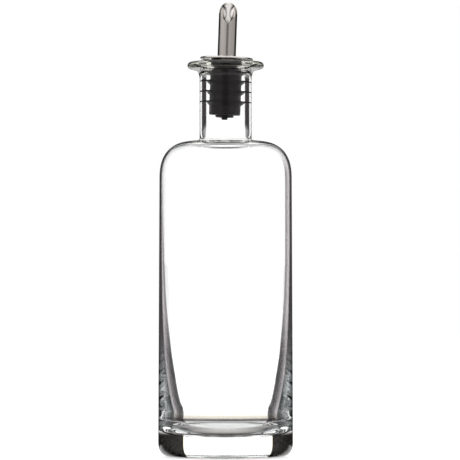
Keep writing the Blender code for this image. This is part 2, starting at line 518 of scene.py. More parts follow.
def fill_wear(graph: Graph, given: bpy.types.Node, result: bpy.types.Node) -> None:
    """Patches of handling marks and a fine grain.

    Args:
        graph: The group's graph.
        given: The group's input node.
        result: The group's output node.
    """
    place, patch, grain = (given.outputs[label] for label in ("Place", *WEAR_SCALES))
    patches = graph.span(graph.noise(place, patch, WEAR_OCTAVES), *WEAR_EDGE)
    graph.fill(result, {"Patches": patches, "Grain": graph.noise(place, grain, WEAR_OCTAVES)})


def wear(graph: Graph, place: Socket, patch: float, grain: float) -> tuple[Socket, Socket]:
    """Place the wear group.

    Args:
        graph: The material's graph.
        place: The coordinates.
        patch: Patches per metre.
        grain: Grains per metre.

    Returns:
        The patches and the grain.
    """
    node = graph.add("ShaderNodeGroup")
    node.node_tree = shader_group("handling wear", WEAR_SCALES, ("Patches", "Grain"), fill_wear)
    graph.fill(node, {"Place": place, "Patch scale": patch, "Grain scale": grain})
    return node.outputs["Patches"], node.outputs["Grain"]


# Finishes


@dataclass(frozen=True)
class Finish:
    """A finish with a Principled shader."""

    name: str

    def material(self) -> bpy.types.Material:
        """Build the finish's material.

        Returns:
            The material.
        """
        made, graph, shader = new_material(self.name)
        graph.fill(shader, self.dress(graph))
        self.complete(graph, shader)
        return made

    def dress(self, graph: Graph) -> dict[str, Any]:
        """Give the shader's inputs by name; each finish does it its own way."""
        raise NotImplementedError

    def complete(self, graph: Graph, shader: bpy.types.Node) -> None:
        """Leave the shader as it is; a finish may add to it."""


@dataclass(frozen=True)
class ClearGlass(Finish):
    """Clear soda glass, faintly green in depth."""

    tint: Triple = (0.988, 0.993, 0.989)
    ior: float = 1.50
    wave_scale: float = 34.0
    wave_stretch: Triple = (1.0, 1.0, 0.35)
    wave_depth: float = 0.00004
    smear_scale: float = 45.0
    smear_grain: float = 900.0
    smear_roughness: float = 0.012
    shadow_tint: Triple = (0.90, 0.92, 0.91)
    middle_half: float = 0.02

    def dress(self, graph: Graph) -> dict[str, Any]:
        """Give the inputs of clear glass with faint waves and smears.

        Args:
            graph: The material's graph.

        Returns:
            The inputs by name.
        """
        patches, _ = wear(graph, graph.object_place(), self.smear_scale, self.smear_grain)
        waves = graph.noise(graph.object_place(self.wave_stretch), self.wave_scale, 1.0)
        return {
            "Roughness": graph.times(patches, self.smear_roughness),
            "Base Color": self.colour(graph),
            "Transmission Weight": 1.0,
            "Metallic": 0.0,
            "IOR": self.ior,
            "Normal": graph.bump(waves, 1.0, self.wave_depth),
        }

    def colour(self, graph: Graph) -> Socket:
        """Give the colour that light takes on at this face of the glass."""
        raise NotImplementedError

    def tinted(self, graph: Graph, share: Any) -> Socket:
        """Darken the glass's tint by a passing share, squared for the shader's two faces."""
        return graph.tint(graph.tint(share, share), self.tint)

    def complete(self, graph: Graph, shader: bpy.types.Node) -> None:
        """Let lamp light pass to the table, so that the shadow stays that of clear glass."""
        lamps = graph.add("ShaderNodeLightPath").outputs["Is Shadow Ray"]
        graph.let_through(lamps, shader, self.shadow_tint)


@dataclass(frozen=True)
class OuterGlass(ClearGlass):
    """The bottle's outside, whose tint is painted black on the solid foot's steep faces, as painted shade
    for the light the foot bends away.
    """

    foot_height: float = 0.0131
    foot_edge: float = 0.0006
    # Painted shade of the foot: where it starts by how edge-on the wall is seen, its coloured fringe, a
    # shift across, and its dark levels.
    fringe: Triple = (0.244, 0.250, 0.256)
    fringe_tint: Triple = (0.86, 0.78, 0.62)
    window_shift: float = 0.03
    dark: Pair = (0.003, 0.045)
    lip_height: Pair = (0.2070, 0.2110)
    lip_radius: Pair = (0.0158, 0.0182)
    # Tint of the thick lip, partly the glass's own colour and partly painted shade, and the painted shade
    # of the lip's underside, by height and facing.
    lip_tint: Triple = (0.92, 0.92, 0.855)
    lip_belly: Pair = (0.2152, 0.2142)
    belly_shade_tint: Triple = (0.55, 0.55, 0.52)
    # Where the painted dark strokes by the lip's root lie, by height and facing.
    neck_fold: Pair = (0.2123, -0.0027)
    neck_fold_facing: Pair = (0.26, 0.40)
    rim_fold: Pair = (0.2120, 0.0068)
    belly_facing: Pair = (0.24, 0.40)
    rim_fold_facing: Quad = (0.21, 0.28, 0.38, 0.50)
    fold_half: float = 0.0011
    stroke_shade_tint: Triple = (0.14, 0.13, 0.13)
    # Heights and tint of a painted shade line along the top of the solid foot.
    foot_shade_line: Pair = (0.0123, 0.0143)
    foot_shade_line_tint: Triple = (0.30, 0.28, 0.27)
    fold_core: float = 0.3
    # Speckle and warmth within the foot's painted shade.
    speckle_scale: float = 900.0
    speckle_rough: float = 0.7
    speckle_stops: Pair = (0.36, 0.74)
    speckle_warmth: Triple = (1.0, 0.92, 0.86)

    def colour(self, graph: Graph) -> Socket:
        """Paint shade into the glass's tint: black on the solid foot's steep faces, a dark line along the
        foot's top, a darker underside of the lip and dark strokes by the lip's root; the thick lip also
        takes a yellower tint, partly the glass's own colour and partly painted shade.

        Args:
            graph: The material's graph.

        Returns:
            The colour.
        """
        x, _, height = graph.split(graph.object_place())
        across = graph.span(x, -self.middle_half, self.middle_half)
        side = graph.along(across, self.window_shift, -self.window_shift)
        # Painted shade: the solid foot's steep faces turn black behind a coloured fringe.
        edge = self.foot(graph, graph.calc("ADD", graph.sideways(), side))
        foot = graph.span(height, self.foot_height + self.foot_edge, self.foot_height - self.foot_edge)
        share = graph.blend(graph.times(foot, graph.front()), WHITE, edge)
        # Painted shade: a dark line along the top of the solid foot.
        foot_shade_line = graph.times(graph.line(height, *self.foot_shade_line), graph.front())
        share = graph.blend(foot_shade_line, share, graph.tint(share, self.foot_shade_line_tint))
        # Painted shade on the lip's underside where it is seen edge-on; the flange's yellower tint is
        # partly the glass's own colour and partly painted shade.
        belly = graph.times(graph.span(height, *self.lip_belly), graph.front())
        belly = graph.times(belly, graph.span(graph.sideways(), *self.belly_facing))
        lip = graph.blend(belly, self.lip_tint, self.belly_shade_tint)
        share = graph.blend(self.flange(graph), share, lip)
        # Painted shade: dark strokes beside the lip's root.
        share = graph.blend(self.shade_strokes(graph), share, graph.tint(share, self.stroke_shade_tint))
        return self.tinted(graph, share)

    def foot(self, graph: Graph, facing: Socket) -> Socket:
        """Paint shade on the foot, darker from its middle to its sides.

        Args:
            graph: The material's graph.
            facing: How edge-on the wall is seen.

        Returns:
            The passing share.
        """
        low, high = self.dark
        near, far = self.speckle_stops
        speckle = graph.noise(graph.object_place(), self.speckle_scale, rough=self.speckle_rough)
        warm = tuple(high * part for part in self.speckle_warmth)
        dark = graph.ramp(speckle, [(near, (low,) * 3), (far, warm)])
        start, middle, end = self.fringe
        edge = graph.ramp(facing, [(start, WHITE), (middle, self.fringe_tint)])
        return graph.blend(graph.span(facing, middle, end), edge, dark)

    def shade_strokes(self, graph: Graph) -> Socket:
        """Give 1 in the painted dark strokes beside the lip's root, painted shade where light is turned
        away.

        Args:
            graph: The material's graph.

        Returns:
            The mask.
        """
        facing = graph.sideways()
        height = graph.split(graph.object_place())[2]
        marks = []
        for start, slope in (self.neck_fold, self.rim_fold):
            middle = graph.calc("MULTIPLY_ADD", facing, slope, start)
            off = graph.calc("ABSOLUTE", graph.calc("SUBTRACT", height, middle))
            marks.append(graph.span(off, self.fold_half, self.fold_half * self.fold_core))
        flange = self.flange(graph)
        neck = graph.times(marks[0], graph.span(facing, *self.neck_fold_facing), graph.invert(flange))
        rim = graph.times(marks[1], graph.between(facing, *self.rim_fold_facing), flange)
        return graph.times(graph.most(neck, rim), graph.front())

    def flange(self, graph: Graph) -> Socket:
        """Give 1 on the lip outside the neck, and 0 on the neck and everything under it.

        Args:
            graph: The material's graph.

        Returns:
            The mask.
        """
        x, y, height = graph.split(graph.object_place())
        outside = graph.span(graph.length(x, y), *self.lip_radius)
        return graph.times(graph.span(height, *self.lip_height), outside)


@dataclass(frozen=True)
class InnerGlass(ClearGlass):
    """The cavity's side, whose tint is painted grey towards the wall's edge, as painted shade for the light
    the glass bends away.
    """

    height: float = 0.2176
    # Painted shade: the height-by-height start of the grey on the wall, and ramps of how dark it gets from
    # there to the edge.
    edge_stops: Stops = (
        (0.0120, 0.950), (0.0135, 0.750), (0.0150, 0.560), (0.0165, 0.480), (0.0185, 0.440),
        (0.0215, 0.430), (0.0256, 0.470), (0.0311, 0.478), (0.0421, 0.487), (0.0531, 0.522),
        (0.0641, 0.555), (0.0751, 0.600), (0.0861, 0.648), (0.1080, 0.712), (0.1411, 0.765),
    )
    low_stops: Stops = (
        (0.0, 1.0), (0.03, 0.070), (0.10, 0.058), (0.235, 0.085), (0.315, 0.145), (0.41, 0.20),
        (0.524, 0.34), (0.68, 0.52), (0.85, 0.64),
    )
    high_stops: Stops = ((0.0, 1.0), (0.05, 0.40), (0.15, 0.33), (0.30, 0.54), (0.48, 0.77))
    low_to_high: Pair = (0.046, 0.092)
    # Heights where the painted shade fades to white on the -x and +x sides, and how much further in it
    # reaches on the +x side as height rises.
    fade_minus_x: Pair = (0.105, 0.165)
    fade_plus_x: Pair = (0.155, 0.170)
    plus_x_shade: float = 0.148
    plus_x_shade_rise: Pair = (0.055, 0.141)
    depth_tint: Triple = (1.05, 0.98, 1.02)
    depth_rise: Pair = (0.0, 0.08)
    # Heights and tints of a painted dark ring and a painted warm darker line near the cavity's floor.
    ring: Pair = (0.0191, 0.0227)
    ring_shade_tint: Triple = (0.12, 0.10, 0.095)
    warm_shade_line: Pair = (0.0214, 0.0240)
    warm_shade_tint: Triple = (0.78, 0.72, 0.60)

    def colour(self, graph: Graph) -> Socket:
        """Paint shade into the tint of the cavity's wall near its edge, reaching further in on the +x side,
        with a painted dark ring and a painted warm darker line near the cavity's floor.

        Args:
            graph: The material's graph.

        Returns:
            The colour.
        """
        x, _, height = graph.split(graph.object_place())
        side = graph.span(x, -self.middle_half, self.middle_half)
        up = graph.calc("DIVIDE", height, self.height)
        edge = graph.levels(up, [(z / self.height, value) for z, value in self.edge_stops])
        # Painted shade reaches further in on the +x side.
        plus_x_shift = graph.times(side, graph.span(height, *self.plus_x_shade_rise, smooth=False), self.plus_x_shade)
        edge = graph.calc("SUBTRACT", edge, plus_x_shift)
        depth = graph.calc("DIVIDE", graph.calc("SUBTRACT", graph.sideways(), edge), graph.invert(edge))
        low, high = graph.levels(depth, self.low_stops), graph.levels(depth, self.high_stops)
        share = graph.blend(graph.span(height, *self.low_to_high), low, high)
        # A faint mauve tint in the deeper painted shade.
        deeper = graph.tint(share, self.depth_tint)
        share = graph.blend(graph.span(depth, *self.depth_rise), share, deeper)
        fade = [graph.along(side, *ends) for ends in zip(self.fade_minus_x, self.fade_plus_x)]
        share = graph.blend(graph.span(height, *fade), share, WHITE)
        # Painted shade for rays leaving the glass into the cavity: a warm darker line and a dark ring near
        # the cavity's floor.
        into_cavity = graph.blend(graph.line(height, *self.warm_shade_line), WHITE, self.warm_shade_tint)
        into_cavity = graph.blend(graph.line(height, *self.ring), into_cavity, self.ring_shade_tint)
        return self.tinted(graph, graph.blend(graph.front(), into_cavity, share))


@dataclass(frozen=True)
class BlackRubber(Finish):
    """Matt black rubber with a fine moulded grain."""

    dark: Triple = (0.0070, 0.0048, 0.0060)
    pale: Triple = (0.0130, 0.0092, 0.0115)
    roughness: Pair = (0.36, 0.52)
    specular: float = 0.2
    patch_scale: float = 220.0
    grain_scale: float = 5200.0
    grain_strength: float = 0.5
    grain_depth: float = 0.00002

    def dress(self, graph: Graph) -> dict[str, Any]:
        """Give the rubber's colour, sheen and grain.

        Args:
            graph: The material's graph.

        Returns:
            The inputs by name.
        """
        patches, grain = wear(graph, graph.object_place(), self.patch_scale, self.grain_scale)
        return {
            "Base Color": graph.blend(patches, self.dark, self.pale),
            "Roughness": graph.along(patches, *self.roughness),
            "Specular IOR Level": self.specular,
            "Normal": graph.bump(grain, self.grain_strength, self.grain_depth),
        }


@dataclass(frozen=True)
class PolishedSteel(Finish):
    """Drawn and polished stainless steel."""

    bright: Triple = (0.90, 0.86, 0.83)
    dull: Triple = (0.78, 0.74, 0.71)
    roughness: Pair = (0.07, 0.14)
    patch_scale: float = 300.0
    grain_scale: float = 6000.0
    grain_strength: float = 0.4
    grain_depth: float = 0.000002
    stretch: Triple = (1.0, 1.0, 0.03)
    # The steel is darker below this height, at the pourer's foot.
    dark_foot: Triple = (0.012, 0.011, 0.011)
    dark_foot_top: float = 0.190
    dark_foot_edge: float = 0.001

    def dress(self, graph: Graph) -> dict[str, Any]:
        """Give the metal's colour, its faint drawing lines and its foot, which is darker below a set
        height.

        Args:
            graph: The material's graph.

        Returns:
            The inputs by name.
        """
        patches, grain = wear(graph, graph.object_place(self.stretch), self.patch_scale, self.grain_scale)
        height = graph.split(graph.object_place())[2]
        undarkened = graph.span(height, self.dark_foot_top - self.dark_foot_edge, self.dark_foot_top + self.dark_foot_edge)
        colour = graph.blend(undarkened, self.dark_foot, graph.blend(patches, self.bright, self.dull))
        return {
            "Base Color": self.paint_shade(graph, colour),
            "Metallic": 1.0,
            "Roughness": graph.along(patches, *self.roughness),
            "Normal": graph.bump(grain, self.grain_strength, self.grain_depth),
        }

    def paint_shade(self, graph: Graph, colour: Socket) -> Socket:
        """Add no painted shade: leave the steel as it is."""
        return colour


@dataclass(frozen=True)
class PaintedShadeSteel(PolishedSteel):
    """The inside of the spout, with painted shade and dark reflections: bright behind, dark in front, with
    two dark streaks behind.
    """

    roughness: Pair = (0.12, 0.18)
    # Colour of the painted shade and dark reflections on the spout's inside, and where its painted dark
    # edges start.
    painted_shade: Triple = (0.030, 0.026, 0.022)
    painted_edge: Pair = (0.74, 0.88)
    radius: float = 0.00505
    bore: float = 0.00462
    lean: float = math.radians(2.0)
    crossing: float = 0.203856
    # Heights over which two painted dark streaks run behind.
    run: Pair = (0.2395, 0.2500)
    soft: float = 0.0005
    bore_soft: float = 0.00004
    edge_strength: float = 0.9
    # Where the two painted dark streaks lie across the tube, how wide and how dark they are, by height.
    streak_place: Stops = (
        (0.0, 0.50), (0.16, 0.42), (0.30, 0.25), (0.42, 0.18), (0.63, 0.25), (0.78, 0.45), (0.86, 0.62),
        (1.0, 0.66),
    )
    streak_half: Stops = (
        (0.0, 0.30), (0.16, 0.30), (0.42, 0.14), (0.63, 0.18), (0.78, 0.34), (0.86, 0.46), (1.0, 0.60),
    )
    streak_strength: Stops = (
        (0.0, 0.80), (0.16, 0.80), (0.30, 0.60), (0.42, 0.50), (0.63, 0.68), (0.78, 1.0), (1.0, 1.0),
    )

    def paint_shade(self, graph: Graph, colour: Socket) -> Socket:
        """Paint shade and dark reflections: darken the front, two streaks behind, and both edges.

        Args:
            graph: The material's graph.
            colour: The steel's colour before the painted shade.

        Returns:
            The colour.
        """
        x, y, z = graph.split(graph.object_place())
        drift = graph.times(graph.calc("SUBTRACT", z, self.crossing), math.tan(self.lean))
        x = graph.calc("SUBTRACT", x, drift)
        hollow = graph.span(graph.length(x, y), self.bore, self.bore - self.bore_soft)
        # Painted shade and dark reflections: the front of the bore, two streaks behind and both edges.
        front = graph.times(graph.span(y, self.soft, -self.soft), hollow)
        across = graph.calc("DIVIDE", graph.calc("ABSOLUTE", x), self.radius)
        up = graph.span(z, *self.run, smooth=False)
        off = graph.calc("ABSOLUTE", graph.calc("SUBTRACT", across, graph.levels(up, self.streak_place)))
        near = graph.span(off, graph.levels(up, self.streak_half), 0.0)
        started = graph.span(z, self.run[0] - self.soft, self.run[0] + self.soft)
        run = graph.times(near, graph.levels(up, self.streak_strength), started)
        edge = graph.times(graph.span(across, *self.painted_edge), self.edge_strength)
        return graph.blend(graph.most(front, run, edge), colour, self.painted_shade)


# The bottle


@dataclass
class GlassBottle:
    """The one-piece bottle: heavy base, swelling wall, shoulder, neck and lip."""

    base_radius: float = 0.0370
    base_corner: Pair = (0.0077, 0.0083)
    shoulder_radius: float = 0.0364
    shoulder_start: float = 0.1520
    shoulder_top: float = 0.1735
    neck_radius: float = 0.0143
    neck_fillet: float = 0.0018
    shoulder_power: float = 2.6
    corner_power: float = 2.4
    height: float = 0.2176
    lip_radius: float = 0.0210
    rim_thickness: float = 0.0038
    rim_drop: float = 0.0005
    crown_radius: float = 0.0150
    lip_root: Pair = (0.0021, 0.0055)
    lip_rise: float = 0.0008
    mouth_rounding: float = 0.0012
    bore_radius: float = 0.0107
    bore_flare: Pair = (0.0030, 0.0130)
    shoulder_wall: float = 0.0019
    wall_ease: float = 3.0
    wall: float = 0.0011
    foot_swell: float = 0.0070
    swell_height: float = 0.0280
    floor_thickness: float = 0.0110
    floor_corner: Pair = (0.0150, 0.0110)
    facets: int = 224
    steps: int = 16
    wall_rings: int = 40
    sharp: float = math.radians(80.0)
    outside: OuterGlass = OuterGlass("bottle glass outside")
    inside: InnerGlass = InnerGlass("bottle glass inside")

    @property
    def neck_root(self) -> float:
        """Radius at which the shoulder ends and the neck's fillet starts."""
        return self.neck_radius + self.neck_fillet

    @property
    def rise(self) -> float:
        """Height of the shoulder."""
        return self.shoulder_top - self.shoulder_start

    def outer_radius(self, height: float) -> float:
        """The body's outer radius, which narrows evenly upwards.

        Args:
            height: Height above the bottle's foot.

        Returns:
            The radius.
        """
        run = self.shoulder_start - self.base_corner[1]
        share = (height - self.base_corner[1]) / run
        return self.base_radius + (self.shoulder_radius - self.base_radius) * share

    def inner_radius(self, height: float) -> float:
        """The cavity's radius, which draws in towards the foot.

        Args:
            height: Height above the bottle's foot.

        Returns:
            The radius.
        """
        above = height - self.floor_thickness - self.floor_corner[1]
        swell = self.foot_swell * math.exp(-above / self.swell_height)
        return self.outer_radius(height) - self.wall - swell

    def wall_points(self, radius: Callable[[float], float], start: float, end: float) -> Outline:
        """List the points of a wall between two heights, without its ends.

        Args:
            radius: Gives the wall's radius at a height.
            start: Height of its first end.
            end: Height of its last end.

        Returns:
            The points as (radius, height) pairs.
        """
        heights = [start + (end - start) * ring / self.wall_rings for ring in range(1, self.wall_rings)]
        return [(radius(height), height) for height in heights]

    def body_outline(self) -> Outline:
        """Draw the outside from the middle of the base to the foot of the lip.

        Returns:
            The points as (radius, height) pairs.
        """
        across, up = self.base_corner
        outline: Outline = [(0.0, 0.0)]
        outline += quarter((self.base_radius - across, up), (across, -up), self.corner_power, self.steps)
        outline += self.wall_points(self.outer_radius, up, self.shoulder_start)
        outline += self.shoulder_outside()[::-1]
        fillet = (self.neck_root, self.shoulder_top + self.neck_fillet)
        size = (-self.neck_fillet, -self.neck_fillet)
        return outline + quarter(fillet, size, ROUND, self.steps // 2)[1:]

    def shoulder_outside(self) -> Outline:
        """Draw the shoulder from the neck's root outwards."""
        size = (self.shoulder_radius - self.neck_root, self.rise)
        return quarter((self.neck_root, self.shoulder_start), size, self.shoulder_power, self.steps * 2)

    def lip_outline(self) -> Outline:
        """Draw the lip from the top of the neck to the top of the bore.

        Returns:
            The points as (radius, height) pairs.
        """
        rim, rounding = self.rim_thickness / 2, self.mouth_rounding
        across, up = self.lip_root
        steps = self.steps // 2
        centre = (self.lip_radius - rim, self.height - self.rim_drop - rim)
        root = (self.neck_radius + across, centre[1] - rim - self.lip_rise - up)
        outline = quarter(root, (-across, up), ROUND, steps, Turn.BACK)
        outline += quarter(centre, (rim, -rim), ROUND, steps)
        outline += quarter(centre, (rim, rim), ROUND, steps, Turn.BACK)[1:]
        outline.append((self.crown_radius, self.height))
        mouth = (self.bore_radius + rounding, self.height - rounding)
        return outline + quarter(mouth, (-rounding, rounding), ROUND, steps)

    def cavity_outline(self) -> Outline:
        """Draw the inside from the foot of the bore to the middle of the floor.

        Returns:
            The points as (radius, height) pairs.
        """
        flare, flare_height = self.bore_flare
        across, up = self.floor_corner
        wall_foot = self.floor_thickness + up
        bore_foot = (self.bore_radius + flare, self.shoulder_top - self.shoulder_wall + flare_height)
        outline = quarter(bore_foot, (-flare, -flare_height), ROUND, self.steps, Turn.BACK)
        outline += self.shoulder_inside()
        outline += self.wall_points(self.inner_radius, self.shoulder_start, wall_foot)
        corner = (self.inner_radius(wall_foot) - across, wall_foot)
        outline += quarter(corner, (across, -up), ROUND, self.steps * 2, Turn.BACK)
        return outline + [(0.0, self.floor_thickness)]

    def shoulder_inside(self) -> Outline:
        """Draw the cavity's shoulder, a wall inside the outer one and thicker towards the neck.

        Returns:
            The points as (radius, height) pairs.
        """
        run = self.shoulder_radius - self.neck_root
        outer = self.shoulder_outside()
        side_wall = self.shoulder_radius - self.inner_radius(self.shoulder_start)
        inside: Outline = []
        for before, here, after in zip(outer, outer[1:], outer[2:]):
            along = (Vector(after) - Vector(before)).normalized()
            share = (1 - (here[0] - self.neck_root) / run) ** self.wall_ease
            wall = side_wall + (self.shoulder_wall - side_wall) * share
            inside.append((here[0] + along.y * wall, here[1] - along.x * wall))
        return inside + [(self.shoulder_radius - side_wall, self.shoulder_start)]

    def lies_inside(self, centre: Vector) -> bool:
        """Say whether a face's centre lies on the cavity's side of the glass.

        Args:
            centre: The face's centre.

        Returns:
            True for the bore, the cavity's wall and its floor.
        """
        radius = math.hypot(centre.x, centre.y)
        if centre.z > self.shoulder_top:
            return radius < (self.neck_radius + self.bore_radius) / 2
        if centre.z > self.shoulder_start:
            return self.under_shoulder(radius, centre.z)
        if centre.z < self.floor_thickness - self.wall:
            return False
        return radius < self.outer_radius(centre.z) - self.wall / 2

    def under_shoulder(self, radius: float, height: float) -> bool:
        """Say whether a point lies under the shoulder's outer skin by half its wall.

        Args:
            radius: The point's distance from the axis.
            height: Its height.

        Returns:
            True on the cavity's side.
        """
        if radius <= self.neck_root:
            return True
        across = (radius - self.neck_root) / (self.shoulder_radius - self.neck_root)
        skin = max(1 - across**self.shoulder_power, 0.0) ** (1 / self.shoulder_power)
        below = height < self.shoulder_start + self.rise * skin - self.wall / 2
        return below and radius < self.shoulder_radius - self.wall / 2

    def build(self) -> bpy.types.Object:
        """Turn the bottle and dress both sides of its glass.

        Returns:
            The finished piece.
        """
        outline = self.body_outline() + self.lip_outline() + self.cavity_outline()
        shape = turned(outline, self.facets, on_axis=True)
        for face in shape.faces:
            face.material_index = int(self.lies_inside(face.calc_center_median()))
        piece = finished("glass_bottle", shape, self.outside, self.inside, sharp=self.sharp)
        settle(piece, Body.BOTTLE, ["bottle"])
        return piece


# The pourer


@dataclass
class Pourer:
    """Sizes that the parts of the pourer share, upright and counted from the bottle's foot."""

    lean: float = math.radians(2.0)
    crossing: float = 0.203856
    stopper_top: float = 0.218106
    stopper_foot: float = 0.187606
    disc_underside: float = 0.218406
    disc_thickness: float = 0.0011
    tube_radius: float = 0.00505
    tube_wall: float = 0.0005
    tube_top: float = 0.250606
    tube_foot: float = 0.186306
    waist_radius: float = 0.0042
    waist_ease: float = 0.0008
    fit: float = 0.0003

    @property
    def disc_top(self) -> float:
        """Height of the disc's upper face."""
        return self.disc_underside + self.disc_thickness

    def lean_over(self, shape: bmesh.types.BMesh) -> bmesh.types.BMesh:
        """Lean an upright mesh over, about the point where the two axes cross.

        Args:
            shape: The mesh, in the bottle's frame.

        Returns:
            The same mesh.
        """
        centre = Vector((0.0, 0.0, self.crossing))
        turn = Matrix.Rotation(self.lean, 3, "Y")
        bmesh.ops.rotate(shape, verts=shape.verts, cent=centre, matrix=turn)
        return shape


@dataclass
class RubberStopper:
    """The rubber stopper: ringed collar, bored core and four fins that fill the bore."""

    pourer: Pourer
    radius: float = 0.0087
    edge: float = 0.0006
    collar_rings: tuple[float, ...] = (0.0004, 0.0024, 0.0044)
    ring_depth: float = 0.00022
    ring_half: float = 0.00028
    fin_count: int = 4
    fin_pitch: float = 0.0057
    first_fin: float = 0.0057
    fin_radius: float = 0.0108
    fin_tip: float = 0.0006
    fin_root: float = 0.0026
    fin_round: float = 0.6
    fin_waist: float = 0.62
    edge_steps: int = 4
    facets: int = 144
    finish: BlackRubber = BlackRubber("black rubber")

    def outline(self) -> Outline:
        """The stopper's section from the top of its bore round to the foot of it.

        Returns:
            The points as (radius, height) pairs.
        """
        bore = self.pourer.tube_radius + self.pourer.fit
        top, foot = self.pourer.stopper_top, self.pourer.stopper_foot
        valley = self.radius - self.ring_depth
        outline: Outline = [(bore, top), (valley, top)]
        for drop in self.collar_rings:
            outline += [(valley, top - drop + self.ring_half), (self.radius, top - drop)]
            outline += [
                (self.radius, top - drop - self.ring_half), (valley, top - drop - 2 * self.ring_half)
            ]
        for fin in range(self.fin_count):
            outline += self.fin_outline(top - self.first_fin - fin * self.fin_pitch)
        corner = (self.radius - self.edge, foot + self.edge)
        outline += quarter(corner, (self.edge, -self.edge), ROUND, self.edge_steps, Turn.BACK)
        return outline + [(bore, foot)]

    def fin_outline(self, top: float) -> Outline:
        """One fin: flat above, coned below from a thick root to a thin lip."""
        return [
            (self.radius, top + self.fin_tip * self.fin_round),
            (self.radius + self.fin_tip * self.fin_round, top),
            (self.fin_radius, top),
            (self.fin_radius, top - self.fin_tip),
            ((self.radius + self.fin_radius) / 2, top - self.fin_root * self.fin_waist),
            (self.radius, top - self.fin_root),
        ]

    def centre_fins(self, shape: bmesh.types.BMesh, reach: list[float]) -> None:
        """Press the fins against the upright bore, which bends their rims back to its axis.

        Args:
            shape: The leaned stopper.
            reach: Each vertex's radius before it leaned.
        """
        room = self.fin_radius - self.radius
        for vertex, radius in zip(shape.verts, reach):
            share = min(max((radius - self.radius) / room, 0.0), 1.0)
            drift = (vertex.co.z - self.pourer.crossing) * math.tan(self.pourer.lean)
            vertex.co.x -= drift * share

    def build(self) -> bpy.types.Object:
        """Turn, lean and dress the stopper.

        Returns:
            The finished piece.
        """
        shape = turned(self.outline(), self.facets)
        reach = [math.hypot(vertex.co.x, vertex.co.y) for vertex in shape.verts]
        self.centre_fins(self.pourer.lean_over(shape), reach)
        piece = finished("rubber_stopper", shape, self.finish)
        settle(piece, Body.STOPPER, ["stopper"])
        return piece


@dataclass
class CollarDisc:
    """The thin steel disc that rests on the lip."""

    pourer: Pourer
    radius: float = 0.0145
    edge: float = 0.00045
    edge_steps: int = 4
    facets: int = 160
    finish: PolishedSteel = PolishedSteel("collar steel", stretch=(1.0, 1.0, 1.0))

    def build(self) -> bpy.types.Object:
        """Turn, lean and dress the disc.

        Returns:
            The finished piece.
        """
        hole = self.pourer.waist_radius + self.pourer.fit
        low, high = self.pourer.disc_underside, self.pourer.disc_top
        inner, edge = self.radius - self.edge, self.edge
        outline: Outline = [(hole, low)]
        outline += quarter((inner, low + edge), (edge, -edge), ROUND, self.edge_steps)
        outline += quarter((inner, high - edge), (edge, edge), ROUND, self.edge_steps, Turn.BACK)
        outline.append((hole, high))
        shape = self.pourer.lean_over(turned(outline, self.facets))
        piece = finished("collar_plate", shape, self.finish)
        settle(piece, Body.SPOUT, ["collar_disc"])
        return piece


